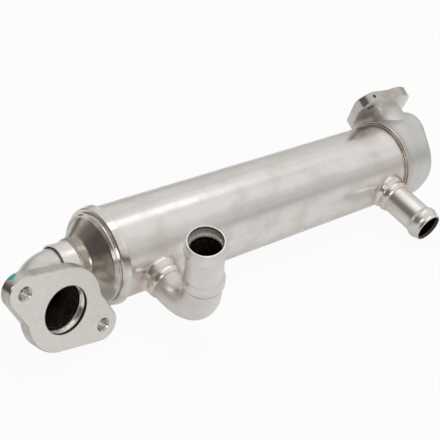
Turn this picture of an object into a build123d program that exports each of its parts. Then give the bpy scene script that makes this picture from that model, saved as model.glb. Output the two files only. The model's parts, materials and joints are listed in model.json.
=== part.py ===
from build123d import *
import os
from math import asin, atan2, cos, degrees, hypot, radians, sin, sqrt, tan

# Exhaust gas cooler: a tube bundle in a round shell, a gas flange at each end, two coolant spigots.
# Millimetres, +Z up. The origin is the middle of the gas inlet face; the shell lies along +X.
# Stations are measured along the shell from the bright edge of the inlet band.
# A clock angle goes round the shell: 0 is -Y, 90 is +Z.

# Shell and its inlet band
SHELL_R = 30.0
SHELL_WALL = 1.5
SHELL_START = -5.2
SHELL_END = 258.0
BAND_WALL = 2.1
BAND_R = SHELL_R + BAND_WALL
BAND_LEFT_R = SHELL_R + 0.7
BAND_LEFT = -6.2
BAND_NECK_R = SHELL_R - 1.6
BAND_NECK_WALL = 1.9
BAND_EDGE_ROUND = 0.5

# Tube plates, gas tubes and baffles
PLATE_THICKNESS = 1.2
PLATE_LEFT = BAND_LEFT - 2.1
PLATE_RIM_PROUD = 0.7
PLATE_RIM_R = BAND_NECK_R + PLATE_RIM_PROUD
PLATE_RIM_ROUND = 0.35
OUTLET_PLATE = SHELL_END - 4.0
OUTLET_PLATE_THICKNESS = 2.0
TUBE_R = 4.0
TUBE_WALL = 0.6
TUBE_PITCH = 10.5
TUBE_PROUD = 0.6
BAFFLE_STATIONS = (84.0, 168.0)
BAFFLE_THICKNESS = 1.5
BAFFLE_CLEARANCE = 0.2
BAFFLE_CUT = 14.5

# Sleeve and bent gas tube at the inlet
GAS_TUBE_R = 14.25
GAS_TUBE_WALL = 1.6
SLEEVE_WALL = 1.55
SLEEVE_R = GAS_TUBE_R + SLEEVE_WALL
SLEEVE_INSIDE = -17.5
SLEEVE_FLARE_START = -30.5
SLEEVE_END = SLEEVE_FLARE_START - 3.9
SLEEVE_FLARE = 0.4
SLEEVE_MOUTH_GAP = 0.9
GAS_TUBE_START = SLEEVE_INSIDE - 1.5
GAS_BEND_R = 24.0
INLET_CORNER = -58.9
INLET_REACH = 44.0
INLET_CLOCK = 2.3
INLET_TILT = 6.4

# Pressed inlet cone
CONE_RIM_R = BAND_NECK_R
CONE_RIM_LEFT_R = CONE_RIM_R - 0.8
CONE_RIM_LEFT = PLATE_LEFT - 1.3
CONE_TOP_R = CONE_RIM_R - 2.0
CONE_LOW_R = SLEEVE_R + 1.8
CONE_LOW = CONE_RIM_LEFT - 9.2
CONE_NECK_R = SLEEVE_R + 1.1
CONE_END = CONE_LOW - 4.4
CONE_WALL = 1.3
CONE_NECK_ROUND = 5.0

# Two-bolt flanges, the same drawing at both ends
FLANGE_R = 25.6
FLANGE_THICKNESS = 8.0
EAR_R = 10.3
BOLT_SPACING = 66.4
NOTCH_ANGLE = 40.0
NOTCH_ROUND = 1.6
FLANGE_EDGE = 0.6
BOLT_HOLE_R = 3.4
BOLT_SINK_R = 4.5
BOLT_SINK_ANGLE = 90.0
PIPE_RECESS = 6.0
BORE_STEP = 0.3
GAS_BORE_R = GAS_TUBE_R + BORE_STEP
INLET_EAR_ANGLE = -38.1
OUTLET_EAR_ANGLE = 34.2
RIM_HOLE_R = 1.5
RIM_HOLE_DEPTH = 4.0
RIM_HOLE_ANGLE = 48.0

# Deep drawn outlet cap and its neck
CAP_WALL = 1.8
CAP_R = SHELL_R + CAP_WALL
CAP_OVERLAP = 5.1
CAP_MOUTH = SHELL_END - CAP_OVERLAP
CAP_LIP_HEIGHT = 0.8
CAP_LIP_R = CAP_R + CAP_LIP_HEIGHT
CAP_LIP_STATION = CAP_MOUTH + 1.0
CAP_LIP_END = CAP_MOUTH + 3.7
CAP_LIP_ROUND = 0.5
CAP_MOUTH_GAP = 1.3
CAP_SEAT = CAP_MOUTH + 2.3
CAP_LENGTH = 26.2
CAP_END = SHELL_END + CAP_LENGTH
CAP_BEND_H = -3.0
CAP_SLANT = 30.5
CAP_LOW_H = -25.0
CAP_LOW_SLANT = 45.0
CAP_LOW_ROUND = 14.0
CAP_BEND_ROUND = 20.0
CAP_EDGE_ROUND = 6.0
NECK_REACH = 18.0
NECK_STATION = SHELL_END + NECK_REACH
NECK_CLOCK = 138.8
NECK_SIDE = 8.7
NECK_SHOULDER = 1.15
NECK_R = GAS_TUBE_R + NECK_SHOULDER
NECK_WALL = 1.6
NECK_FLARE = 2.8
NECK_BASE_R = NECK_R + NECK_FLARE
NECK_FLARE_LOW = 12.0
CAP_HOLE_LOW = 16.0
NECK_HEIGHT = 11.3
OUTLET_FACE = CAP_R + NECK_HEIGHT

# Coolant collars and spigots
COOLANT_CLOCK = -18.0
COOLANT_IN_STATION = 23.4
COOLANT_OUT_INSET = 21.7
COOLANT_OUT_STATION = SHELL_END - COOLANT_OUT_INSET
PIPE_R = 11.0
PIPE_WALL = 1.0
PORT_STEP = 1.5
PORT_R = PIPE_R - PORT_STEP
COLLAR_FLARE = 2.8
COLLAR_BASE_R = PIPE_R + COLLAR_FLARE
COLLAR_BASE = SHELL_R - 0.6
COLLAR_WALL = 1.2
COLLAR_WAIST_R = PIPE_R + COLLAR_WALL
COLLAR_WAIST = COLLAR_BASE + 3.4
COLLAR_BEAD_HEIGHT = 0.4
COLLAR_BEAD_R = COLLAR_WAIST_R + COLLAR_BEAD_HEIGHT
COLLAR_BEAD = COLLAR_WAIST + 2.4
COLLAR_TOP = COLLAR_BEAD + 3.0
COLLAR_TOP_LIP = 0.5
COLLAR_ROOT = SHELL_R - 8.0
COLLAR_FOOT_ROUND = 2.5
PIPE_START = SHELL_R + 1.0
MOUTH_ROUND = 0.4

# Straight spigot: its bead and mouth
BEAD_HEIGHT = 1.5
BEAD_REACH = 32.0
BEAD_LOW = SHELL_R + BEAD_REACH
BEAD_LENGTH = 8.6
BEAD_TO_MOUTH = 2.1
OUT_SPIGOT_END = BEAD_LOW + BEAD_LENGTH + BEAD_TO_MOUTH

# Bent pipe, and the spigot on its end, measured from the corner of the bend
ELBOW_REACH = 42.6
ELBOW_CORNER = SHELL_R + ELBOW_REACH
ELBOW_BEND_R = 35.3
LEG_CLOCK = 70.4
LEG_TILT = -15.1
ELBOW_END = 48.0
SOCKET_OVERLAP = 5.2
SOCKET_START = ELBOW_END - SOCKET_OVERLAP
SOCKET_RISE = 1.6
SOCKET_FALL = 5.1
SOCKET_WALL = 1.4
SOCKET_R = PIPE_R + SOCKET_WALL
SOCKET_LIP = 0.4
IN_BEAD_HEIGHT = 1.1
IN_BEAD_REACH = 20.5
IN_BEAD_LOW = ELBOW_END + IN_BEAD_REACH
IN_BEAD_LENGTH = 7.8
IN_BEAD_TO_MOUTH = 3.5
IN_SPIGOT_END = IN_BEAD_LOW + IN_BEAD_LENGTH + IN_BEAD_TO_MOUTH


def around(clock, tilt=0.0):
    """Direction away from the shell at a clock angle, leaned toward +X by the tilt."""
    c = radians(clock)
    t = radians(tilt)
    return Vector(sin(t), -cos(t) * cos(c), cos(t) * sin(c))


ALONG = Vector(1, 0, 0)
inlet_out = around(INLET_CLOCK, INLET_TILT)
inlet_corner = inlet_out * (-INLET_REACH / cos(radians(INLET_TILT)))
shell_start = inlet_corner - ALONG * INLET_CORNER
shell_axis = Axis(shell_start, ALONG)

# Cross-sections of the shell are drawn on this plane, offset to their station.
section = Plane(origin=shell_start, x_dir=(0, 1, 0), z_dir=ALONG)
# Turned profiles are drawn as (station, radius) on this one.
turned = Plane(origin=shell_start, x_dir=ALONG, z_dir=(0, -1, 0))

coolant_out = around(COOLANT_CLOCK)
leg_out = around(LEG_CLOCK, LEG_TILT)
neck_out = around(NECK_CLOCK)
neck_side = ALONG.cross(neck_out)


def spindle(start, direction):
    """Plane for turned profiles about a line: x runs along the line, y is the radius."""
    side = direction.cross(ALONG).normalized()
    return Plane(origin=start, x_dir=direction, z_dir=side)


def polar(radius, angle, centre=(0.0, 0.0)):
    a = radians(angle)
    return (centre[0] + radius * cos(a), centre[1] + radius * sin(a))


def corner(x, y):
    """The corner of the active sketch nearest to a point."""
    return vertices().sort_by_distance((x, y))[0]


def flange_outline():
    """Round plate with two ears: a tangent side, an ear, then a side that stops at a notch."""
    spacing = BOLT_SPACING / 2
    tangent = -90 + degrees(asin((FLANGE_R - EAR_R) / spacing))
    notch = polar(FLANGE_R, NOTCH_ANGLE)
    away = (spacing - notch[0], -notch[1])
    side = degrees(atan2(away[1], away[0]) + asin(EAR_R / hypot(*away)))
    with BuildSketch() as outline:
        with BuildLine():
            for turn in (0, 180):
                ear = polar(spacing, turn)
                ear_from = polar(EAR_R, tangent + turn, ear)
                ear_to = polar(EAR_R, side + 90 + turn, ear)
                ear_mid = polar(EAR_R, (tangent + side + 90) / 2 + turn, ear)
                notch = polar(FLANGE_R, NOTCH_ANGLE + turn)
                round_mid = polar(FLANGE_R, (NOTCH_ANGLE + tangent + 180) / 2 + turn)
                round_to = polar(FLANGE_R, tangent + 180 + turn)
                Line(polar(FLANGE_R, tangent + turn), ear_from)
                ThreePointArc(ear_from, ear_mid, ear_to)
                Line(ear_to, notch)
                ThreePointArc(notch, round_mid, round_to)
        make_face()
        for turn in (0, 180):
            fillet(corner(*polar(FLANGE_R, NOTCH_ANGLE + turn)), NOTCH_ROUND)
    return outline.sketch


def flange_plane(face_centre, outward, ear_angle):
    """Plane of a flange's outer face with x toward one ear."""
    back = (outward * ALONG.dot(outward) - ALONG).normalized()
    turn = radians(ear_angle)
    ear = back * cos(turn) + outward.cross(back) * sin(turn)
    return Plane(origin=face_centre, x_dir=ear, z_dir=outward)


def spigot_line(start, low, length, end, radius, height):
    """Line along a hose spigot with one rounded bead, from its start to its mouth."""
    high = low + length
    Line((start, radius), (low, radius))
    ThreePointArc((low, radius), ((low + high) / 2, radius + height), (high, radius))
    Line((high, radius), (end, radius))


def tube_centres():
    """Nineteen tubes in a hexagonal pack."""
    rows = []
    for q in range(-2, 3):
        for r in range(-2, 3):
            if abs(q + r) <= 2:
                rows.append((TUBE_PITCH * (q + r / 2), TUBE_PITCH * r * sqrt(3) / 2))
    return sorted(rows, key=lambda at: (-at[1], at[0]))


TUBES = tube_centres()

# Shell with the two coolant ports
with BuildPart() as shell_tube:
    with BuildSketch(section.offset(SHELL_START)):
        Circle(SHELL_R)
        Circle(SHELL_R - SHELL_WALL, mode=Mode.SUBTRACT)
    extrude(amount=SHELL_END - SHELL_START)
    for station in (COOLANT_IN_STATION, COOLANT_OUT_STATION):
        with BuildSketch(Plane(origin=shell_start + ALONG * station, z_dir=coolant_out)):
            Circle(PORT_R)
        extrude(amount=SHELL_R + SHELL_WALL, mode=Mode.SUBTRACT)

# Band over the inlet end of the shell, stepped in to a short neck
with BuildPart() as inlet_band:
    with BuildSketch(turned):
        with BuildLine():
            Polyline(
                (0, SHELL_R),
                (0, BAND_R - BAND_EDGE_ROUND),
                (-BAND_EDGE_ROUND, BAND_R),
                (BAND_LEFT + BAND_EDGE_ROUND, BAND_LEFT_R + BAND_EDGE_ROUND),
                (BAND_LEFT, BAND_LEFT_R),
                (BAND_LEFT, BAND_NECK_R),
                (PLATE_LEFT + PLATE_THICKNESS, BAND_NECK_R),
                (PLATE_LEFT + PLATE_THICKNESS, BAND_NECK_R - BAND_NECK_WALL),
                (SHELL_START, BAND_NECK_R - BAND_NECK_WALL),
                (SHELL_START, SHELL_R),
                close=True,
            )
        make_face()
    revolve(axis=shell_axis)

# Plate that closes the coolant space; its rim shows as the first bright lip
with BuildPart() as inlet_tube_plate:
    with BuildSketch(section.offset(PLATE_LEFT)):
        Circle(PLATE_RIM_R)
        with Locations(*TUBES):
            Circle(TUBE_R, mode=Mode.SUBTRACT)
    extrude(amount=PLATE_THICKNESS)
    rims = inlet_tube_plate.edges().filter_by(GeomType.CIRCLE).sort_by(SortBy.RADIUS)[-2:]
    fillet(rims, PLATE_RIM_ROUND)

with BuildPart() as outlet_tube_plate:
    with BuildSketch(section.offset(OUTLET_PLATE)):
        Circle(SHELL_R - SHELL_WALL)
        with Locations(*TUBES):
            Circle(TUBE_R, mode=Mode.SUBTRACT)
    extrude(amount=OUTLET_PLATE_THICKNESS)

# Discs that hold the tubes apart and turn the coolant, cut away on opposite sides
baffles = []
for station, side in zip(BAFFLE_STATIONS, (-1, 1)):
    with BuildPart() as baffle:
        with BuildSketch(section.offset(station)):
            Circle(SHELL_R - SHELL_WALL - BAFFLE_CLEARANCE)
            with Locations(*TUBES):
                Circle(TUBE_R + BAFFLE_CLEARANCE, mode=Mode.SUBTRACT)
            with Locations((0, side * (BAFFLE_CUT + SHELL_R / 2))):
                Rectangle(2 * SHELL_R, SHELL_R, mode=Mode.SUBTRACT)
        extrude(amount=BAFFLE_THICKNESS)
    baffles.append(baffle)

# Straight gas tubes, standing slightly proud of both plates
gas_tubes = []
for centre in TUBES:
    with BuildPart() as gas_tube:
        with BuildSketch(section.offset(PLATE_LEFT - TUBE_PROUD)):
            with Locations(centre):
                Circle(TUBE_R)
                Circle(TUBE_R - TUBE_WALL, mode=Mode.SUBTRACT)
        extrude(amount=OUTLET_PLATE + OUTLET_PLATE_THICKNESS - PLATE_LEFT + 2 * TUBE_PROUD)
    gas_tubes.append(gas_tube)

# Pressed cone with its rim and a short neck that grips the sleeve
with BuildPart() as inlet_cone:
    with BuildSketch(turned):
        with BuildLine():
            Polyline(
                (PLATE_LEFT, BAND_NECK_R - BAND_NECK_WALL),
                (PLATE_LEFT, CONE_RIM_R),
                (CONE_RIM_LEFT, CONE_RIM_LEFT_R),
                (CONE_RIM_LEFT, CONE_TOP_R),
                (CONE_LOW, CONE_LOW_R),
                (CONE_END, CONE_NECK_R),
                (CONE_END, SLEEVE_R),
                (CONE_LOW + CONE_WALL, SLEEVE_R),
                close=True,
            )
        make_face()
        fillet(corner(CONE_LOW, CONE_LOW_R), CONE_NECK_ROUND)
        fillet(corner(CONE_LOW + CONE_WALL, SLEEVE_R), CONE_NECK_ROUND - CONE_WALL)
    revolve(axis=shell_axis)

# Sleeve between the cone and the gas tube, a little open at its outer end
with BuildPart() as inlet_sleeve:
    with BuildSketch(turned):
        with BuildLine():
            Polyline(
                (SLEEVE_INSIDE, GAS_TUBE_R),
                (SLEEVE_INSIDE, SLEEVE_R),
                (SLEEVE_FLARE_START, SLEEVE_R),
                (SLEEVE_END, SLEEVE_R + SLEEVE_FLARE),
                (SLEEVE_END, GAS_TUBE_R + SLEEVE_MOUTH_GAP),
                (SLEEVE_FLARE_START, GAS_TUBE_R),
                close=True,
            )
        make_face()
    revolve(axis=shell_axis)

# Bent gas tube from the sleeve into the back of the inlet flange
with BuildPart() as inlet_elbow:
    with BuildLine():
        FilletPolyline(
            shell_start + ALONG * GAS_TUBE_START,
            inlet_corner,
            inlet_out * -PIPE_RECESS,
            radius=GAS_BEND_R,
        )
    with BuildSketch(Plane(origin=shell_start + ALONG * GAS_TUBE_START, z_dir=-ALONG)):
        Circle(GAS_TUBE_R)
        Circle(GAS_TUBE_R - GAS_TUBE_WALL, mode=Mode.SUBTRACT)
    sweep()

# The two bolted flanges share one drawing
inlet_face = flange_plane(Vector(0, 0, 0), inlet_out, INLET_EAR_ANGLE)
outlet_middle = shell_start + ALONG * NECK_STATION + neck_side * NECK_SIDE + neck_out * OUTLET_FACE
outlet_face = flange_plane(outlet_middle, neck_out, OUTLET_EAR_ANGLE)

flange_drawing = flange_outline()
flanges = []
for face in (inlet_face, outlet_face):
    with BuildPart() as flange:
        with BuildSketch(face):
            add(flange_drawing)
        extrude(amount=-FLANGE_THICKNESS)
        broad = flange.faces().sort_by(Axis(face.origin, face.z_dir))
        chamfer([*broad[0].edges(), *broad[-1].edges()], FLANGE_EDGE)
        for radius, depth in ((GAS_TUBE_R, FLANGE_THICKNESS), (GAS_BORE_R, PIPE_RECESS)):
            with BuildSketch(face):
                Circle(radius)
            extrude(amount=-depth, mode=Mode.SUBTRACT)
        with Locations(face):
            with PolarLocations(BOLT_SPACING / 2, 2):
                CounterSinkHole(BOLT_HOLE_R, BOLT_SINK_R, FLANGE_THICKNESS, BOLT_SINK_ANGLE)
    flanges.append(flange)
inlet_flange, outlet_flange = flanges

# Small blind hole in the rim of one ear of the outlet flange, pointing at the bolt hole
ear_rim = polar(EAR_R, RIM_HOLE_ANGLE, (BOLT_SPACING / 2, 0))
rim_point = outlet_face.from_local_coords(Vector(*ear_rim, -FLANGE_THICKNESS / 2))
ear_middle = outlet_face.from_local_coords(Vector(BOLT_SPACING / 2, 0, -FLANGE_THICKNESS / 2))
with outlet_flange:
    with BuildSketch(Plane(origin=rim_point, z_dir=rim_point - ear_middle)):
        Circle(RIM_HOLE_R)
    extrude(amount=-RIM_HOLE_DEPTH, mode=Mode.SUBTRACT)


def cap_solid(radius, inset):
    """Round body with a flat end that leans outward toward the neck and is cut back below."""
    reach = 2 * CAP_R
    bend = CAP_END - inset
    foot = bend - (reach + CAP_LOW_H) * tan(radians(CAP_LOW_SLANT))
    top = bend + (reach - CAP_BEND_H) * tan(radians(CAP_SLANT))
    with BuildPart() as body:
        with BuildSketch(section.offset(CAP_LIP_STATION)):
            Circle(radius)
        extrude(amount=reach)
        with BuildSketch(Plane(origin=shell_start, x_dir=ALONG, z_dir=neck_side)):
            with BuildLine():
                Polyline(
                    (SHELL_END - reach, -reach),
                    (foot, -reach),
                    (bend, CAP_LOW_H),
                    (bend, CAP_BEND_H),
                    (top, reach),
                    (SHELL_END - reach, reach),
                    close=True,
                )
            make_face()
            fillet(corner(bend, CAP_BEND_H), CAP_BEND_ROUND)
            fillet(corner(bend, CAP_LOW_H), CAP_LOW_ROUND)
        extrude(amount=reach, both=True, mode=Mode.INTERSECT)
        rim = body.edges().filter_by(lambda edge: edge.center().X - shell_start.X > SHELL_END)
        fillet(rim.filter_by(GeomType.LINE, reverse=True), CAP_EDGE_ROUND - inset)
    return body.part


cap_outside = cap_solid(CAP_R, 0)
cap_inside = cap_solid(SHELL_R, CAP_WALL)
neck_foot = shell_start + ALONG * NECK_STATION + neck_side * NECK_SIDE

# Cap drawn over the shell end, with a rolled lip round its mouth
with BuildPart() as outlet_cap:
    add(cap_outside)
    add(cap_inside, mode=Mode.SUBTRACT)
    with BuildSketch(turned):
        with BuildLine():
            Polyline(
                (CAP_MOUTH, SHELL_R + CAP_MOUTH_GAP),
                (CAP_MOUTH, CAP_LIP_R - CAP_LIP_ROUND),
                (CAP_LIP_STATION, CAP_LIP_R),
                (CAP_LIP_END, CAP_R),
                (CAP_LIP_END, SHELL_R),
                (CAP_SEAT, SHELL_R),
                close=True,
            )
        make_face()
        fillet(corner(CAP_LIP_STATION, CAP_LIP_R), CAP_LIP_ROUND)
    revolve(axis=shell_axis)
    with BuildSketch(turned):
        with BuildLine():
            Polyline(
                (CAP_MOUTH, SHELL_R - CAP_WALL),
                (CAP_MOUTH, SHELL_R + CAP_MOUTH_GAP),
                (CAP_SEAT, SHELL_R),
                (CAP_SEAT, SHELL_R - CAP_WALL),
                close=True,
            )
        make_face()
    revolve(axis=shell_axis, mode=Mode.SUBTRACT)
    with BuildSketch(Plane(origin=neck_foot + neck_out * CAP_HOLE_LOW, z_dir=neck_out)):
        Circle(GAS_TUBE_R - NECK_WALL)
    extrude(amount=OUTLET_FACE, mode=Mode.SUBTRACT)

# Flared neck: its foot is trimmed to sit on the cap, its shoulder meets the back of the flange
neck_top = OUTLET_FACE - FLANGE_THICKNESS
with BuildPart() as outlet_neck:
    with BuildSketch(spindle(neck_foot, neck_out)):
        with BuildLine():
            TangentArc(
                (neck_top, NECK_R), (NECK_FLARE_LOW, NECK_BASE_R), tangent=(-1, 0)
            )
            Line((NECK_FLARE_LOW, NECK_BASE_R), (NECK_FLARE_LOW, NECK_BASE_R - NECK_WALL))
            TangentArc(
                (neck_top, GAS_TUBE_R - NECK_WALL),
                (NECK_FLARE_LOW, NECK_BASE_R - NECK_WALL),
                tangent=(-1, 0),
            )
            Polyline(
                (neck_top, GAS_TUBE_R - NECK_WALL),
                (OUTLET_FACE - PIPE_RECESS, GAS_TUBE_R - NECK_WALL),
                (OUTLET_FACE - PIPE_RECESS, GAS_TUBE_R),
                (neck_top, GAS_TUBE_R),
                (neck_top, NECK_R),
            )
        make_face()
    revolve(axis=Axis(neck_foot, neck_out))
    with BuildSketch(section.offset(CAP_MOUTH)):
        Circle(CAP_R)
    extrude(amount=2 * CAP_R, mode=Mode.SUBTRACT)

# Collars drawn round both coolant ports, their feet trimmed to the shell
collars = []
for station in (COOLANT_IN_STATION, COOLANT_OUT_STATION):
    port = shell_start + ALONG * station
    with BuildPart() as collar:
        with BuildSketch(spindle(port, coolant_out)):
            with BuildLine():
                Polyline(
                    (COLLAR_WAIST, COLLAR_WAIST_R),
                    (COLLAR_BASE, COLLAR_BASE_R),
                    (COLLAR_ROOT, COLLAR_BASE_R),
                    (COLLAR_ROOT, PORT_R),
                    (PIPE_START, PORT_R),
                    (PIPE_START, PIPE_R),
                    (COLLAR_TOP, PIPE_R),
                    (COLLAR_TOP, PIPE_R + COLLAR_TOP_LIP),
                )
                ThreePointArc(
                    (COLLAR_WAIST, COLLAR_WAIST_R),
                    (COLLAR_BEAD, COLLAR_BEAD_R),
                    (COLLAR_TOP, PIPE_R + COLLAR_TOP_LIP),
                )
            make_face()
            fillet(corner(COLLAR_BASE, COLLAR_BASE_R), COLLAR_FOOT_ROUND)
        revolve(axis=Axis(port, coolant_out))
        with BuildSketch(section.offset(station - SHELL_R)):
            Circle(SHELL_R)
        extrude(amount=2 * SHELL_R, mode=Mode.SUBTRACT)
    collars.append(collar)
coolant_inlet_collar, coolant_outlet_collar = collars

# Straight coolant spigot
outlet_port = shell_start + ALONG * COOLANT_OUT_STATION
with BuildPart() as coolant_outlet_pipe:
    with BuildSketch(spindle(outlet_port, coolant_out)):
        with BuildLine():
            for radius in (PIPE_R, PIPE_R - PIPE_WALL):
                spigot_line(
                    PIPE_START, BEAD_LOW, BEAD_LENGTH, OUT_SPIGOT_END, radius, BEAD_HEIGHT
                )
            for station in (PIPE_START, OUT_SPIGOT_END):
                Line((station, PIPE_R), (station, PIPE_R - PIPE_WALL))
        make_face()
        fillet(corner(OUT_SPIGOT_END, PIPE_R), MOUTH_ROUND)
    revolve(axis=Axis(outlet_port, coolant_out))

# Bent coolant pipe from the other collar
inlet_port = shell_start + ALONG * COOLANT_IN_STATION
pipe_corner = inlet_port + coolant_out * ELBOW_CORNER
with BuildPart() as coolant_inlet_elbow:
    with BuildLine():
        FilletPolyline(
            inlet_port + coolant_out * PIPE_START,
            pipe_corner,
            pipe_corner + leg_out * ELBOW_END,
            radius=ELBOW_BEND_R,
        )
    with BuildSketch(Plane(origin=inlet_port + coolant_out * PIPE_START, z_dir=coolant_out)):
        Circle(PIPE_R)
        Circle(PIPE_R - PIPE_WALL, mode=Mode.SUBTRACT)
    sweep()

# Spigot whose widened socket slips over the end of the bent pipe
socket_peak = SOCKET_START + SOCKET_RISE
socket_end = socket_peak + SOCKET_FALL
bore_r = PIPE_R - PIPE_WALL
with BuildPart() as coolant_inlet_spigot:
    with BuildSketch(spindle(pipe_corner, leg_out)):
        with BuildLine():
            Polyline(
                (ELBOW_END, bore_r),
                (ELBOW_END, PIPE_R),
                (SOCKET_START, PIPE_R),
                (SOCKET_START, SOCKET_R - SOCKET_LIP),
            )
            ThreePointArc(
                (SOCKET_START, SOCKET_R - SOCKET_LIP), (socket_peak, SOCKET_R), (socket_end, PIPE_R)
            )
            for start, radius in ((socket_end, PIPE_R), (ELBOW_END, bore_r)):
                spigot_line(
                    start, IN_BEAD_LOW, IN_BEAD_LENGTH, IN_SPIGOT_END, radius, IN_BEAD_HEIGHT
                )
            Line((IN_SPIGOT_END, PIPE_R), (IN_SPIGOT_END, bore_r))
        make_face()
        fillet(corner(IN_SPIGOT_END, PIPE_R), MOUTH_ROUND)
    revolve(axis=Axis(pipe_corner, leg_out))

pieces = {
    "shell_tube": shell_tube,
    "inlet_band": inlet_band,
    "inlet_tube_plate": inlet_tube_plate,
    "outlet_tube_plate": outlet_tube_plate,
    "inlet_cone": inlet_cone,
    "inlet_sleeve": inlet_sleeve,
    "inlet_elbow": inlet_elbow,
    "inlet_flange": inlet_flange,
    "outlet_cap": outlet_cap,
    "outlet_neck": outlet_neck,
    "outlet_flange": outlet_flange,
    "coolant_inlet_collar": coolant_inlet_collar,
    "coolant_inlet_elbow": coolant_inlet_elbow,
    "coolant_inlet_spigot": coolant_inlet_spigot,
    "coolant_outlet_collar": coolant_outlet_collar,
    "coolant_outlet_pipe": coolant_outlet_pipe,
}
for number, baffle in enumerate(baffles, start=1):
    pieces[f"baffle_{number}"] = baffle
for number, gas_tube in enumerate(gas_tubes, start=1):
    pieces[f"gas_tube_{number:02d}"] = gas_tube

os.makedirs("parts", exist_ok=True)
for name, piece in pieces.items():
    piece.part.label = name
    export_step(piece.part, f"parts/{name}.step")
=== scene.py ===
import json
import math

import bmesh
import bpy
from mathutils import Matrix, Vector, noise


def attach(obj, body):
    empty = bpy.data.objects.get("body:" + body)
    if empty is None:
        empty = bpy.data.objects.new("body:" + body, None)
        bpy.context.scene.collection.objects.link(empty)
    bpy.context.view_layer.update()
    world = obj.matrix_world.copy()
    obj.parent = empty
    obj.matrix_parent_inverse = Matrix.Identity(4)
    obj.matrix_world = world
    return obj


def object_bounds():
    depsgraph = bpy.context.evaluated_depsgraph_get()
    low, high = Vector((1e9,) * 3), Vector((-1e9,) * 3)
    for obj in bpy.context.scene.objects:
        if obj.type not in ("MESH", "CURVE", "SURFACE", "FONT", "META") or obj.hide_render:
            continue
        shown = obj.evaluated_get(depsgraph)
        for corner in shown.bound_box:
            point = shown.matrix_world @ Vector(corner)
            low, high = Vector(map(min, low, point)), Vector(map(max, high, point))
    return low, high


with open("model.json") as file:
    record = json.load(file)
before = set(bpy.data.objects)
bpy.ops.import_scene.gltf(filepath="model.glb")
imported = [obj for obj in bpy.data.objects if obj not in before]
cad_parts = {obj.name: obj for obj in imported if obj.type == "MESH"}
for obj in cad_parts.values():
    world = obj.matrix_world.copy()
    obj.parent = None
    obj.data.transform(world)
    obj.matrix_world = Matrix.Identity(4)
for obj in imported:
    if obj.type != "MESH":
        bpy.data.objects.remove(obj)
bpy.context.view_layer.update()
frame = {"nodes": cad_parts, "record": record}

# Lengths are millimetres in the part's own frame: the middle of the gas inlet face is the origin.
X = Vector((1, 0, 0))
Z = Vector((0, 0, 1))
OUTWARD = {row["name"]: Vector(row["axis"]) for row in frame["record"]["mounts"]}
INLET_OUT = OUTWARD["gas_inlet"]
NECK_OUT = OUTWARD["gas_outlet"]
LEG_OUT = OUTWARD["coolant_inlet"]
COOLANT_OUT = OUTWARD["coolant_outlet"]

# Stations run along the shell, from the bright edge of its inlet band.
SHELL_START = Vector((53.9646, 43.9646, -1.7658))
SHELL_R = 30.0
SLEEVE_R = 15.8
CONE_NECK = -23.4
SLEEVE_MOUTH = -34.0
BAND_EDGE = 0.1
CAP_MOUTH = 253.2

# Gas tubes and flanges.
INLET_FACE = Vector((0, 0, 0))
OUTLET_FACE = Vector((329.9646, 70.6630, 33.1697))
GAS_TUBE_R = 14.25
GAS_BEND_R = 24.0
INLET_CORNER = INLET_FACE - INLET_OUT * 44.276
FLANGE_THICKNESS = 8.0
INLET_EAR = Vector((-0.7820, -0.0630, 0.6200))
OUTLET_EAR = Vector((-0.8271, -0.3703, 0.4229))
BOLT_REACH = 33.2

# Coolant pipes: heights are from the shell's middle line, or from the corner of the bent pipe.
COOLANT_IN = SHELL_START + X * 23.4
COOLANT_CORNER = COOLANT_IN + COOLANT_OUT * 72.6
COOLANT_EXIT = SHELL_START + X * 236.3
PIPE_R = 11.0
COLLAR_FOOT_R = 13.7
COLLAR_TOP = 38.2
SOCKET_START = 42.8
HOSE_BEAD = 62.0
LEG_HOSE_BEAD = 68.4


def linear(colour):
    """An sRGB hex value as the linear colour that a shader takes."""
    parts = [int(colour[i : i + 2], 16) / 255 for i in (1, 3, 5)]
    return (*[c / 12.92 if c <= 0.04045 else ((c + 0.055) / 1.055) ** 2.4 for c in parts], 1)


def put(tree, kind, values=None, out=0, **settings):
    """Adds one node with its settings, sets or links its inputs, and returns one output."""
    new = tree.nodes.new(kind)
    for name, value in settings.items():
        setattr(new, name, value)
    for key, value in (values or {}).items():
        if isinstance(value, bpy.types.NodeSocket):
            tree.links.new(value, new.inputs[key])
        else:
            new.inputs[key].default_value = value
    return new.outputs[out]


def blank(name, metallic):
    """A new material, its tree, its shader, and the point on the part in millimetres."""
    material = bpy.data.materials.new(name)
    material.use_nodes = True
    tree = material.node_tree
    shader = tree.nodes["Principled BSDF"]
    shader.inputs["Metallic"].default_value = metallic
    metres = put(tree, "ShaderNodeTexCoord", out="Object")
    spot = put(tree, "ShaderNodeVectorMath", {0: metres, "Scale": 1000}, operation="SCALE")
    return material, tree, shader, spot


def along(tree, spot, start, direction):
    """Distance from a plane through the start point, along a direction."""
    gap = put(tree, "ShaderNodeVectorMath", {0: spot, 1: start}, operation="SUBTRACT")
    onto = {0: gap, 1: direction}
    return put(tree, "ShaderNodeVectorMath", onto, out="Value", operation="DOT_PRODUCT")


def drawn_out(tree, spot, direction, stretch):
    """The point squeezed along a direction, so that a pattern on it runs that way."""
    onto = {0: spot, 1: direction}
    length = put(tree, "ShaderNodeVectorMath", onto, out="Value", operation="DOT_PRODUCT")
    excess = put(tree, "ShaderNodeMath", {0: length, 1: 1 - 1 / stretch}, operation="MULTIPLY")
    part = {0: direction, "Scale": excess}
    part = put(tree, "ShaderNodeVectorMath", part, operation="SCALE")
    return put(tree, "ShaderNodeVectorMath", {0: spot, 1: part}, operation="SUBTRACT")


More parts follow.
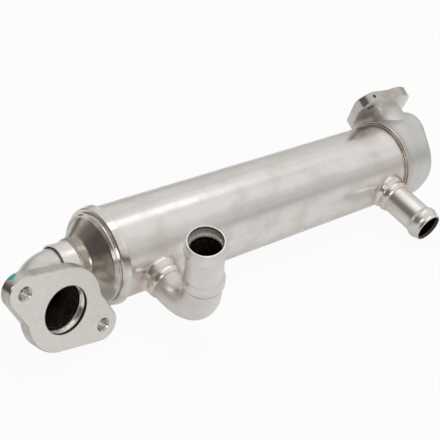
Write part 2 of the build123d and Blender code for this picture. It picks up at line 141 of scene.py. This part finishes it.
def turned(tree, spot):
    """Station and radius about the shell's axis, so that a pattern runs round it in rings."""
    drift = 0.03
    gap = put(tree, "ShaderNodeVectorMath", {0: spot, 1: SHELL_START}, operation="SUBTRACT")
    cut = put(tree, "ShaderNodeSeparateXYZ", {0: gap}).node
    flat = put(tree, "ShaderNodeCombineXYZ", {"Y": cut.outputs["Y"], "Z": cut.outputs["Z"]})
    radius = put(tree, "ShaderNodeVectorMath", {0: flat}, out="Value", operation="LENGTH")
    rings = put(tree, "ShaderNodeCombineXYZ", {"X": cut.outputs["X"], "Y": radius})
    swirl = put(tree, "ShaderNodeVectorMath", {0: flat, "Scale": drift}, operation="SCALE")
    return put(tree, "ShaderNodeVectorMath", {0: rings, 1: swirl}, operation="ADD")


def lumpy(tree, spot, size, low=0.0, high=1.0, detail=3.0):
    """A value that wanders from low to high in lumps of about the given size."""
    lumps = put(tree, "ShaderNodeTexNoise", {"Vector": spot, "Scale": 1 / size, "Detail": detail})
    spread = {"Value": lumps, "From Min": 0.3, "From Max": 0.7, "To Min": low, "To Max": high}
    return put(tree, "ShaderNodeMapRange", spread, interpolation_type="SMOOTHSTEP")


def steel(name, colours, rough, mark, patch, grain=None, stretch=1.0, height=0.0):
    """A bare stainless finish: bright metal, duller patches, and marks left by how it was made.

    Colours are bright and dull, and rough is the lowest and highest roughness. Marks are as wide as
    mark and stand as high as height, bands of them are seven marks wide, patches are as wide as
    patch, and grain is the way the marks run.
    """
    material, tree, shader, spot = blank(name, 1.0)
    run = spot
    if grain == "rings":
        run = turned(tree, spot)
    elif grain is not None:
        run = drawn_out(tree, spot, grain, stretch)
    fine = {"Vector": run, "Scale": 1 / mark, "Detail": 2.0, "Roughness": 0.5}
    marks = put(tree, "ShaderNodeTexNoise", fine)
    broad = {"Vector": run, "Scale": 1 / (mark * 7), "Detail": 2.0, "Roughness": 0.5}
    bands = put(tree, "ShaderNodeTexNoise", broad)
    mottled = {"Vector": spot, "Scale": 1 / patch, "Detail": 4.0, "Roughness": 0.6}
    patches = put(tree, "ShaderNodeTexNoise", mottled)
    blend = put(tree, "ShaderNodeMix", {0: 0.45, 2: bands, 3: patches})
    shade = {"Value": blend, "From Min": 0.38, "From Max": 0.62}
    shade = put(tree, "ShaderNodeMapRange", shade, interpolation_type="SMOOTHSTEP")
    bright, dull = colours
    colour = {0: shade, 6: linear(bright), 7: linear(dull)}
    colour = put(tree, "ShaderNodeMix", colour, out=2, data_type="RGBA")
    smears = {"Value": patches, "From Min": 0.35, "From Max": 0.7}
    smears = put(tree, "ShaderNodeMapRange", smears, interpolation_type="SMOOTHSTEP")
    streak = put(tree, "ShaderNodeMix", {0: 0.65, 2: marks, 3: smears})
    level = {"Value": streak, "From Min": 0.15, "From Max": 0.85, "To Min": rough[0], "To Max": rough[1]}
    level = put(tree, "ShaderNodeMapRange", level, interpolation_type="SMOOTHSTEP")
    tree.links.new(colour, shader.inputs["Base Color"])
    tree.links.new(level, shader.inputs["Roughness"])
    if height:
        bump = {"Strength": 0.35, "Distance": height / 1000, "Height": marks}
        tree.links.new(put(tree, "ShaderNodeBump", bump), shader.inputs["Normal"])
    return material, tree, spot, patches


def tint(material, value, colour, strength, *edges):
    """Lays a colour over the base colour so far, where the value is past every given edge.

    An edge is the value where the colour starts and the value where it is full. Returns how much of
    it shows.
    """
    tree = material.node_tree
    base = tree.nodes["Principled BSDF"].inputs["Base Color"]
    factor = strength
    for start, full in edges:
        past = {"Value": value, "From Min": start, "From Max": full}
        past = put(tree, "ShaderNodeMapRange", past, interpolation_type="SMOOTHSTEP")
        factor = put(tree, "ShaderNodeMath", {0: past, 1: factor}, operation="MULTIPLY")
    top = {0: factor, 6: base.links[0].from_socket, 7: linear(colour)}
    tree.links.new(put(tree, "ShaderNodeMix", top, out=2, data_type="RGBA"), base)
    return factor


# Real brush, roll and saw marks are near 0.1 mm wide. Here they are about 1 mm, so that they show.
# Heat from brazing leaves straw, then pink-brown, on bare stainless steel near each joint.
STRAW = "#D9BFA0"
BLUSH = "#B99C8C"


def blush_round_pipes(material, tree, spot, height, strength, edge):
    """Pink-brown heat tint round the foot of each coolant pipe, out to a distance from a point on it."""
    for port in (COOLANT_IN, COOLANT_EXIT):
        heart = {0: spot, 1: port + COOLANT_OUT * height}
        reach = put(tree, "ShaderNodeVectorMath", heart, out="Value", operation="DISTANCE")
        tint(material, reach, BLUSH, strength, edge)


# Drawn and satin brushed tube: faint lines along it, so highlights are long and soft.
shell_steel, tree, spot, patches = steel(
    "satin_brushed_tube_steel",
    ("#EFECE9", "#DDD9D5"),
    rough=(0.22, 0.3),
    mark=1.2,
    patch=24.0,
    grain=X,
    stretch=40.0,
)
# Its patches push the edges of the heat tints to and fro, so that they aren't straight.
station = {0: patches, 1: 8.0, 2: along(tree, spot, SHELL_START, X)}
station = put(tree, "ShaderNodeMath", station, operation="MULTIPLY_ADD")
tint(shell_steel, station, BLUSH, 0.18, (247, 260))
tint(shell_steel, station, STRAW, 0.2, (9, 2))
tint(shell_steel, patches, "#DCC6B8", 0.28, (0.45, 0.75))
blush_round_pipes(shell_steel, tree, spot, SHELL_R, 0.25, (23, 14))

# Formed band and plate rim, turned bright: fine rings, sharp highlights on both lips.
band_steel = steel(
    "bright_rolled_band_steel",
    ("#EBE7E3", "#DAD4CE"),
    rough=(0.12, 0.22),
    mark=0.8,
    patch=8.0,
    grain="rings",
    height=0.008,
)[0]

# Deep pressed cone, almost mirror smooth, with the mottled olive-brown film of the brazing furnace.
cone_steel, tree, spot, patches = steel(
    "furnace_browned_pressed_steel",
    ("#DED8D1", "#C9C1B8"),
    rough=(0.18, 0.26),
    mark=1.6,
    patch=12.0,
    grain="rings",
)
tint(cone_steel, patches, "#9A8E80", 0.24, (0.333, 0.7))
# The film runs out from the neck in folds; their dark and bright streaks are painted shade and painted
# highlight.
gap = put(tree, "ShaderNodeVectorMath", {0: spot, 1: SHELL_START}, operation="SUBTRACT")
spoke = put(tree, "ShaderNodeVectorMath", {0: gap, 1: Vector((0, 1, 1))}, operation="MULTIPLY")
spoke = put(tree, "ShaderNodeVectorMath", {0: spoke}, operation="NORMALIZE")
folded = {"Vector": spoke, "Scale": 1 / 0.42, "Detail": 1.5, "Roughness": 0.5}
painted_fold_streaks = put(tree, "ShaderNodeTexNoise", folded)
painted_fold_streaks = put(tree, "ShaderNodeMix", {0: 0.3, 2: painted_fold_streaks, 3: patches})
tint(cone_steel, painted_fold_streaks, "#6A5E55", 0.34, (0.42, 0.6))
tint(cone_steel, painted_fold_streaks, "#FFFBF5", 0.4, (0.46, 0.36))
# Painted shade darkens the neck, damping the highlight that its curve catches.
tint(cone_steel, along(tree, spot, SHELL_START, X), "#A3968A", 0.65, (-17, -20))

# Deep drawn cap and neck, satin from tumbling: cool grey, blushed beside the rolled lip.
cap_steel, tree, spot, patches = steel(
    "satin_deep_drawn_steel", ("#DBDAD8", "#D2D1CF"), rough=(0.3, 0.36), mark=3.0, patch=18.0
)
station = {0: patches, 1: 6.0, 2: along(tree, spot, SHELL_START, X)}
station = put(tree, "ShaderNodeMath", station, operation="MULTIPLY_ADD")
tint(cap_steel, station, BLUSH, 0.35, (265, 257))
tint(cap_steel, along(tree, spot, OUTLET_FACE, NECK_OUT), STRAW, 0.12, (-20, -10))

# Bright drawn tube, smooth and evenly lit, blushed where it is brazed and paler on the gas sleeve.
pipe_steel, tree, spot, _ = steel(
    "bright_drawn_tube_steel", ("#EAE7E3", "#E1DDD8"), rough=(0.29, 0.34), mark=3.0, patch=18.0
)
blush_round_pipes(pipe_steel, tree, spot, 34.0, 0.15, (17, 11))
station = along(tree, spot, SHELL_START, X)
tint(pipe_steel, station, "#F2EEE8", 0.5, (-38, -33), (-18, -26))

# Collars drawn up by hand tools: the same tube steel, faintly dented, so its highlights break up.
collar_steel, tree, spot, _ = steel(
    "dented_drawn_collar_steel",
    ("#F2EFEB", "#E2DCD5"),
    rough=(0.2, 0.3),
    mark=2.6,
    patch=10.0,
    height=0.5,
)
blush_round_pipes(collar_steel, tree, spot, 30.0, 0.12, (17, 13))

# Plain mill finish inside and in the bolt holes, dulled by the furnace.
core_steel = steel(
    "dull_mill_finish_steel", ("#CFC9C2", "#B5AEA6"), rough=(0.3, 0.42), mark=1.0, patch=9.0
)[0]

# Nickel braze: pale gold with a pink cast, a small uneven bead in each joint.
braze = steel(
    "furnace_nickel_braze", ("#E8E0D7", "#D2C7BB"), rough=(0.28, 0.4), mark=1.5, patch=4.0
)[0]


def flange_steel(name, centre, outward):
    """Plate steel: both faces ground flat and matte, the sawn rim darker and streaked, the bore dull and
    its wall darkened with painted shade.
    """
    material, tree, spot, _ = steel(
        name,
        ("#D2CDC7", "#BDB6AF"),
        rough=(0.18, 0.3),
        mark=1.4,
        patch=6.0,
        grain=outward,
        stretch=14.0,
        height=0.02,
    )
    shader = tree.nodes["Principled BSDF"]
    base, rough = shader.inputs["Base Color"], shader.inputs["Roughness"]
    facing = {0: put(tree, "ShaderNodeNewGeometry", out="Normal"), 1: outward}
    facing = put(tree, "ShaderNodeVectorMath", facing, out="Value", operation="DOT_PRODUCT")
    facing = put(tree, "ShaderNodeMath", {0: facing}, operation="ABSOLUTE")
    face = {"Value": facing, "From Min": 0.85, "From Max": 0.97}
    face = put(tree, "ShaderNodeMapRange", face, interpolation_type="SMOOTHSTEP")
    grit = lumpy(tree, spot, 3.0, detail=4.0)
    ground = {0: grit, 6: linear("#F3F0EC"), 7: linear("#EDEAE5")}
    ground = put(tree, "ShaderNodeMix", ground, out=2, data_type="RGBA")
    colour = {0: face, 6: base.links[0].from_socket, 7: ground}
    tree.links.new(put(tree, "ShaderNodeMix", colour, out=2, data_type="RGBA"), base)
    matte = lumpy(tree, spot, 2.0, 0.42, 0.52)
    level = put(tree, "ShaderNodeMix", {0: face, 2: rough.links[0].from_socket, 3: matte})
    gap = put(tree, "ShaderNodeVectorMath", {0: spot, 1: centre}, operation="SUBTRACT")
    sideways = put(tree, "ShaderNodeVectorMath", {0: gap, 1: outward}, operation="CROSS_PRODUCT")
    radius = put(tree, "ShaderNodeVectorMath", {0: sideways}, out="Value", operation="LENGTH")
    # Painted shade darkens the wall of the bore.
    painted_bore_shade = tint(material, radius, "#8F857C", 1.0, (15.0, 14.8))
    tree.links.new(put(tree, "ShaderNodeMix", {0: painted_bore_shade, 2: level, 3: 0.4}), rough)
    return material


inlet_flange_steel = flange_steel("ground_flange_plate_steel_inlet", INLET_FACE, INLET_OUT)
outlet_flange_steel = flange_steel("ground_flange_plate_steel_outlet", OUTLET_FACE, NECK_OUT)

# A dab of teal marking lacquer on the rim of one ear, worn thin at its edge.
tree = inlet_flange_steel.node_tree
metres = put(tree, "ShaderNodeTexCoord", out="Object")
spot = put(tree, "ShaderNodeVectorMath", {0: metres, "Scale": 1000}, operation="SCALE")
# Its middle lies out along the ear, a little aside, and near the back of the plate.
dab = INLET_FACE + INLET_EAR * 43.65 - INLET_OUT.cross(INLET_EAR) * 6.78 - INLET_OUT * 7.0
reach = put(tree, "ShaderNodeVectorMath", {0: spot, 1: dab}, out="Value", operation="DISTANCE")
worn = put(tree, "ShaderNodeTexNoise", {"Vector": spot, "Scale": 1 / 2.0, "Detail": 3.0})
edge = put(tree, "ShaderNodeMath", {0: worn, 1: 3.0, 2: reach}, operation="MULTIPLY_ADD")
tint(inlet_flange_steel, edge, "#2BA79F", 0.9, (5.6, 4.9))


def mouth_steel(name, start, direction, line, rim):
    """Tube wall in a mouth: pale scale that scatters light, painted shade nearly black below a line,
    darker near the rim.
    """
    material, tree, shader, spot = blank(name, 0.5)
    height = along(tree, spot, start, direction)
    lumps = put(tree, "ShaderNodeTexNoise", {"Vector": spot, "Scale": 1 / 3.5, "Detail": 1.0})
    shade_depth = put(tree, "ShaderNodeMath", {0: lumps, 1: 0.5, 2: height}, operation="MULTIPLY_ADD")
    above = {"Value": shade_depth, "From Min": line, "From Max": line + 0.9}
    above = put(tree, "ShaderNodeMapRange", above, interpolation_type="SMOOTHSTEP")
    # Painted shade: the wall is nearly black below the line.
    pale = {0: above, 6: linear("#1E1B18"), 7: linear("#F4F0EA")}
    pale = put(tree, "ShaderNodeMix", pale, out=2, data_type="RGBA")
    lip = {"Value": height, "From Min": rim - 2.4, "From Max": rim - 1.6}
    lip = put(tree, "ShaderNodeMapRange", lip, interpolation_type="SMOOTHSTEP")
    colour = {0: lip, 6: pale, 7: linear("#A0968C")}
    colour = put(tree, "ShaderNodeMix", colour, out=2, data_type="RGBA")
    tree.links.new(colour, shader.inputs["Base Color"])
    tree.links.new(lumpy(tree, spot, 1.2, 0.22, 0.3), shader.inputs["Roughness"])
    return material


# Nearly black and matte: painted shade inside the gas and coolant ways and in narrow gaps, with oxide
# and soot in the gas ways.
soot_and_shade, tree, shader, spot = blank("soot_and_painted_shade_film", 0.35)
clots = lumpy(tree, spot, 3.0, detail=4.0)
colour = {0: clots, 6: linear("#2A2622"), 7: linear("#4A443D")}
colour = put(tree, "ShaderNodeMix", colour, out=2, data_type="RGBA")
tree.links.new(colour, shader.inputs["Base Color"])
tree.links.new(lumpy(tree, spot, 1.5, 0.4, 0.6), shader.inputs["Roughness"])

FINISH_OF_SLOT = {
    "shell_steel": shell_steel,
    "band_steel": band_steel,
    "cone_steel": cone_steel,
    "cap_steel": cap_steel,
    "core_steel": core_steel,
    "pipe_steel": pipe_steel,
}
FINISH_OF_NODE = {
    "inlet_flange": inlet_flange_steel,
    "outlet_flange": outlet_flange_steel,
    "coolant_inlet_collar": collar_steel,
    "coolant_outlet_collar": collar_steel,
}
for row in frame["record"]["subparts"]:
    finish = FINISH_OF_NODE.get(row["node"]) or FINISH_OF_SLOT[row["material_slot"]]
    for slot in frame["nodes"][row["node"]].material_slots:
        slot.material = finish


def piece(name, rings, finish, closed=True, smooth=True):
    """A mesh from rows of points, joined row to row and round each row."""
    shape = bmesh.new()
    rows = [[shape.verts.new(Vector(p) / 1000) for p in ring] for ring in rings]
    count = len(rows)
    for i in range(count if closed else count - 1):
        a, b = rows[i], rows[(i + 1) % count]
        for j in range(len(a)):
            k = (j + 1) % len(a)
            shape.faces.new((a[j], a[k], b[k], b[j]))
    bmesh.ops.recalc_face_normals(shape, faces=shape.faces)
    mesh = bpy.data.meshes.new(name)
    shape.to_mesh(mesh)
    shape.free()
    for face in mesh.polygons:
        face.use_smooth = smooth
    mesh.materials.append(finish)
    made = bpy.data.objects.new(name, mesh)
    bpy.context.scene.collection.objects.link(made)
    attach(made, "root")


def across(direction):
    """Two directions square to a line and to each other."""
    a = direction.cross(X if abs(direction.dot(X)) < 0.9 else Z).normalized()
    return a, direction.cross(a).normalized()


def bead(name, path, radius, flat=0.7, uneven=0.25, finish=braze):
    """A closed bead that follows a loop of (point, up) pairs and swells a little."""
    rings = []
    count = len(path)
    for i, (point, up) in enumerate(path):
        ahead = (path[(i + 1) % count][0] - path[i - 1][0]).normalized()
        out = (up - ahead * up.dot(ahead)).normalized()
        wide = ahead.cross(out)
        r = radius * (1 + uneven * noise.noise(point * 0.4))
        turns = [math.tau * j / 8 for j in range(8)]
        ring = [point + out * (r * flat * math.cos(t)) + wide * (r * math.sin(t)) for t in turns]
        rings.append(ring)
    piece(name, rings, finish)


def hoop(centre, direction, radius, steps=144):
    """A circle as (point, up) pairs."""
    a, b = across(direction)
    turns = [math.tau * i / steps for i in range(steps)]
    ups = [a * math.cos(t) + b * math.sin(t) for t in turns]
    return [(centre + up * radius, up) for up in ups]


def saddle(port, radius, steps=96):
    """The line where a round collar meets the shell, as (point, up) pairs."""
    side = X.cross(COOLANT_OUT)
    path = []
    for i in range(steps):
        t = math.tau * i / steps
        reach = side * (radius * math.sin(t))
        height = math.sqrt(SHELL_R**2 - reach.length_squared)
        point = port + X * (radius * math.cos(t)) + reach + COOLANT_OUT * height
        path.append((point, (reach + COOLANT_OUT * height).normalized()))
    return path


# The middle of a small bead stands this far out from the wall that it runs round.
PROUD = 0.1
bead("braze_cone_sleeve", hoop(SHELL_START + X * CONE_NECK, X, SLEEVE_R + PROUD), radius=0.75)
# A nearly black ring in the sleeve's mouth is a painted shadow in the gap round the gas tube.
loop = hoop(SHELL_START + X * SLEEVE_MOUTH, X, GAS_TUBE_R + 0.45)
bead("painted_shadow_sleeve_mouth", loop, radius=0.5, uneven=0.1, finish=soot_and_shade)
bead("braze_cap_mouth", hoop(SHELL_START + X * CAP_MOUTH, X, SHELL_R + 0.4), radius=1.0)
bead("braze_band_edge", hoop(SHELL_START + X * BAND_EDGE, X, SHELL_R + PROUD), radius=0.55)
bead("braze_inlet_collar", saddle(COOLANT_IN, COLLAR_FOOT_R), radius=0.7)
bead("braze_outlet_collar", saddle(COOLANT_EXIT, COLLAR_FOOT_R), radius=0.7)
for name, port in (("braze_inlet_pipe", COOLANT_IN), ("braze_outlet_pipe", COOLANT_EXIT)):
    bead(name, hoop(port + COOLANT_OUT * COLLAR_TOP, COOLANT_OUT, PIPE_R + PROUD), radius=0.35)
# The spigot's socket ends in a rolled edge round the bent pipe, with a dark ring under it as a painted
# shadow.
loop = hoop(COOLANT_CORNER + LEG_OUT * (SOCKET_START + 0.3), LEG_OUT, PIPE_R + 0.95)
bead("socket_edge", loop, radius=0.36, flat=1.0, uneven=0.1, finish=band_steel)
loop = hoop(COOLANT_CORNER + LEG_OUT * (SOCKET_START - 0.35), LEG_OUT, PIPE_R + 0.7)
bead("painted_shadow_under_socket", loop, radius=0.4, flat=1.0, uneven=0.1, finish=soot_and_shade)
flange_back = INLET_FACE - INLET_OUT * (FLANGE_THICKNESS + PROUD)
bead("braze_inlet_flange", hoop(flange_back, INLET_OUT, GAS_TUBE_R + PROUD), radius=0.7)


def lining(name, path, finish):
    """A thin film that lines a round way along a path of (point, direction, radius)."""
    rings = []
    for point, direction, radius in path:
        a, b = across(direction)
        turns = [math.tau * j / 64 for j in range(64)]
        rings.append([point + (a * math.cos(t) + b * math.sin(t)) * radius for t in turns])
    piece(name, rings, finish, closed=False)


def stepped(start, direction, profile):
    """A way along a straight line, from its profile of (distance, radius) pairs."""
    return [(start + direction * distance, direction, radius) for distance, radius in profile]


def bend(corner, come, go, bend_radius, radius, steps=24):
    """The inside of a bend between two straight runs."""
    angle = come.angle(go)
    start = corner - come * (bend_radius * math.tan(angle / 2))
    inward = (go - come * go.dot(come)).normalized()
    centre = start + inward * bend_radius
    path = []
    for i in range(steps + 1):
        t = angle * i / steps
        out = come * math.cos(t) + inward * math.sin(t)
        spot = centre + (come * math.sin(t) - inward * math.cos(t)) * bend_radius
        path.append((spot, out, radius))
    return path


# Films stand just clear of the walls: the coolant bores are 20 mm wide and the gas bores 25.3 mm.
PIPE_FILM_R = 9.95
NECK_FILM_R = 12.6
BEND_FILM_R = 12.58
# Dark films deep in the coolant ways are painted shade; in the gas ways they are painted shade and soot.
way = stepped(COOLANT_EXIT, COOLANT_OUT, ((31.2, PIPE_FILM_R), (HOSE_BEAD - 0.1, PIPE_FILM_R)))
lining("painted_shade_coolant_outlet", way, soot_and_shade)
way = stepped(OUTLET_FACE, NECK_OUT, ((-26.0, NECK_FILM_R), (-6.2, NECK_FILM_R)))
lining("soot_and_painted_shade_outlet_neck", way, soot_and_shade)
way = bend(INLET_CORNER, -X, INLET_OUT, GAS_BEND_R, BEND_FILM_R)
way += stepped(INLET_CORNER, INLET_OUT, ((27.0, BEND_FILM_R), (37.6, BEND_FILM_R)))
lining("soot_and_painted_shade_inlet_bend", way, soot_and_shade)

# The tube ends are flared outward to lock in the flanges; the flares shine just inside the faces.
FLARE = ((-6.5, 12.62), (-5.4, 12.72), (-4.4, 13.05), (-3.4, 13.55), (-2.5, 14.15), (-2.0, 14.56))
lining("flare_inlet_mouth", stepped(INLET_FACE, INLET_OUT, FLARE), band_steel)
lining("flare_outlet_mouth", stepped(OUTLET_FACE, NECK_OUT, FLARE), band_steel)

# The bent pipe's rolled hose bead leaves a low ridge and a hollow inside, and light catches both.
# The dark film deeper in is painted shade.
way = stepped(COOLANT_CORNER, LEG_OUT, ((36.0, PIPE_FILM_R), (LEG_HOSE_BEAD, PIPE_FILM_R)))
lining("painted_shade_coolant_inlet", way, soot_and_shade)
HOLLOW = (
    (LEG_HOSE_BEAD + 0.05, PIPE_FILM_R),
    (71.8, 9.3),
    (72.6, 9.75),
    (73.4, 10.3),
    (74.1, 10.68),
    (74.7, 10.6),
    (75.4, 10.3),
    (76.3, PIPE_FILM_R),
    (79.4, PIPE_FILM_R),
)
finish = mouth_steel("bright_tube_wall_steel_inlet", COOLANT_CORNER, LEG_OUT, line=71.2, rim=79.8)
lining("wall_coolant_inlet_mouth", stepped(COOLANT_CORNER, LEG_OUT, HOLLOW), finish)

# The straight spigot's hose bead is pressed out from inside, so its hollow shows in the mouth.
BEAD_LENGTH = 8.6
BEAD_DEPTH = 1.45
hollow = [(HOSE_BEAD - 0.05, PIPE_FILM_R), (HOSE_BEAD, PIPE_FILM_R)]
for i in range(1, 13):
    rise = BEAD_DEPTH * math.sin(math.pi * i / 12)
    hollow.append((HOSE_BEAD + BEAD_LENGTH * i / 12, PIPE_FILM_R + rise))
hollow.append((72.3, PIPE_FILM_R))
finish = mouth_steel("bright_tube_wall_steel_outlet", COOLANT_EXIT, COOLANT_OUT, line=70.2, rim=72.7)
lining("wall_coolant_outlet_mouth", stepped(COOLANT_EXIT, COOLANT_OUT, hollow), finish)


def thread(name, mouth, inward):
    """Rounded helical ridges standing in from the wall of a bolt hole, as a tapped M8 thread shows."""
    wall, crest = 3.45, 3.0
    pitch, foot, tip = 1.25, 0.42, 0.08
    sink, length, steps = 1.3, 5.4, 36
    a, b = across(inward)
    rings = []
    for i in range(int(steps * length / pitch)):
        t = math.tau * i / steps
        out = a * math.cos(t) + b * math.sin(t)
        start = mouth + inward * (sink + pitch * i / steps)
        profile = ((wall, -foot), (crest, -tip), (crest, tip), (wall, foot))
        rings.append([start + out * radius + inward * (pitch * share) for radius, share in profile])
    piece(name, rings, core_steel, closed=False, smooth=False)


for place, centre, outward, ear in (
    ("inlet", INLET_FACE, INLET_OUT, INLET_EAR),
    ("outlet", OUTLET_FACE, NECK_OUT, OUTLET_EAR),
):
    square = (ear - outward * ear.dot(outward)).normalized()
    thread(f"thread_{place}_1", centre + square * BOLT_REACH, -outward)
    thread(f"thread_{place}_2", centre - square * BOLT_REACH, -outward)

# Painted board, matt white: it keeps soft shadows, looks near white, and mirrors as a mid grey.
white = bpy.data.materials.new("matt_white_table_board")
white.use_nodes = True
tree = white.node_tree
shader = tree.nodes["Principled BSDF"]
shader.inputs["Base Color"].default_value = linear("#EDEDEC")
shader.inputs["Roughness"].default_value = 0.9
# The camera sees mostly its glow, under which a faint shadow stays, and metal sees less of it.
rays = put(tree, "ShaderNodeLightPath").node
mirrored = {0: rays.outputs["Is Glossy Ray"], 1: rays.outputs["Is Transmission Ray"]}
mirrored = put(tree, "ShaderNodeMath", mirrored, operation="MAXIMUM")
mirrored = put(tree, "ShaderNodeMath", {0: mirrored, 1: 0.42}, operation="MULTIPLY")
seen = {0: rays.outputs["Is Camera Ray"], 1: mirrored}
seen = put(tree, "ShaderNodeMath", seen, operation="MAXIMUM")
seen = put(tree, "ShaderNodeMath", {0: seen, 1: 0.93}, operation="MULTIPLY")
glow = put(tree, "ShaderNodeEmission", {"Color": linear("#FFFFFF"), "Strength": 1.0})
blend = put(tree, "ShaderNodeMixShader", {0: seen, 1: shader.outputs[0], 2: glow})
tree.links.new(blend, tree.nodes["Material Output"].inputs["Surface"])
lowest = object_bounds()[0]
bpy.ops.mesh.primitive_plane_add(size=16, location=(0.15, 0, lowest.z))
floor = bpy.context.object
floor.name = "table"
floor.data.materials.append(white)

# Studio room for the metal to mirror: white above, greyer walls, and a dark screen to the left.
world = bpy.data.worlds.new("studio_room")
bpy.context.scene.world = world
world.use_nodes = True
tree = world.node_tree
way = put(tree, "ShaderNodeTexCoord", out="Generated")
cut = put(tree, "ShaderNodeSeparateXYZ", {0: way}).node
tall = {"Value": cut.outputs["Z"], "From Min": 0.05, "From Max": 0.55}
tall = put(tree, "ShaderNodeMapRange", tall, interpolation_type="SMOOTHSTEP")
wall = {0: tall, 6: linear("#BDBBB9"), 7: linear("#E7E7E6")}
wall = put(tree, "ShaderNodeMix", wall, out=2, data_type="RGBA")
left = {"Value": cut.outputs["X"], "From Min": -0.15, "From Max": -0.7, "To Max": 0.9}
left = put(tree, "ShaderNodeMapRange", left, interpolation_type="SMOOTHSTEP")
# A low dark screen behind the part draws the dark upper edge on the cone and its band.
behind = {0: cut.outputs["Y"], 1: -0.7, 2: cut.outputs["X"]}
behind = put(tree, "ShaderNodeMath", behind, operation="MULTIPLY_ADD")
behind = {"Value": behind, "From Min": -0.15, "From Max": -0.5, "To Max": 0.75}
behind = put(tree, "ShaderNodeMapRange", behind, interpolation_type="SMOOTHSTEP")
short = {"Value": cut.outputs["Z"], "From Min": 0.32, "From Max": 0.14}
short = put(tree, "ShaderNodeMapRange", short, interpolation_type="SMOOTHSTEP")
behind = put(tree, "ShaderNodeMath", {0: behind, 1: short}, operation="MULTIPLY")
screens = put(tree, "ShaderNodeMath", {0: left, 1: behind}, operation="MAXIMUM")
room = {0: screens, 6: wall, 7: linear("#534A44")}
room = put(tree, "ShaderNodeMix", room, out=2, data_type="RGBA")
# The camera itself sees a near white backdrop.
rays = put(tree, "ShaderNodeLightPath").node
room = {0: rays.outputs["Is Camera Ray"], 6: room, 7: linear("#FCFCFC")}
room = put(tree, "ShaderNodeMix", room, out=2, data_type="RGBA")
tree.links.new(room, tree.nodes["Background"].inputs["Color"])
tree.nodes["Background"].inputs["Strength"].default_value = 1.0


def softbox(name, place, target, width, height, power):
    """A weak rectangular lamp in metres and watts, turned to its target."""
    light = bpy.data.lights.new(name, "AREA")
    light.shape = "RECTANGLE"
    light.size = width
    light.size_y = height
    light.energy = power
    lamp = bpy.data.objects.new(name, light)
    lamp.location = place
    lamp.rotation_euler = (Vector(target) - Vector(place)).to_track_quat("-Z", "Y").to_euler()
    bpy.context.scene.collection.objects.link(lamp)


softbox("softbox_overhead", (0.2, -0.05, 1.1), (0.18, 0.02, 0), width=1.5, height=0.34, power=1.05)
softbox("softbox_front", (-0.5, -1.1, 0.5), (0.12, 0, 0), width=0.5, height=0.5, power=2.0)

# The photograph's view, from the front left and above, fitted to its outlines. Metres.
eye = bpy.data.cameras.new("view")
eye.sensor_width = 36.0
eye.lens = 79.83
eye.clip_start = 0.01
camera = bpy.data.objects.new("view", eye)
bpy.context.scene.collection.objects.link(camera)
right = Vector((0.76411942, -0.64353697, 0.04451592))
upward = Vector((0.25971491, 0.37007905, 0.89195833))
forward = Vector((0.59048257, 0.67000124, -0.44992074))
place = Matrix((right, upward, -forward)).transposed().to_4x4()
place.translation = Vector((-0.242188, -0.400258, 0.292929))
camera.matrix_world = place
bpy.context.scene.camera = camera

bpy.context.scene.view_settings.view_transform = "Standard"
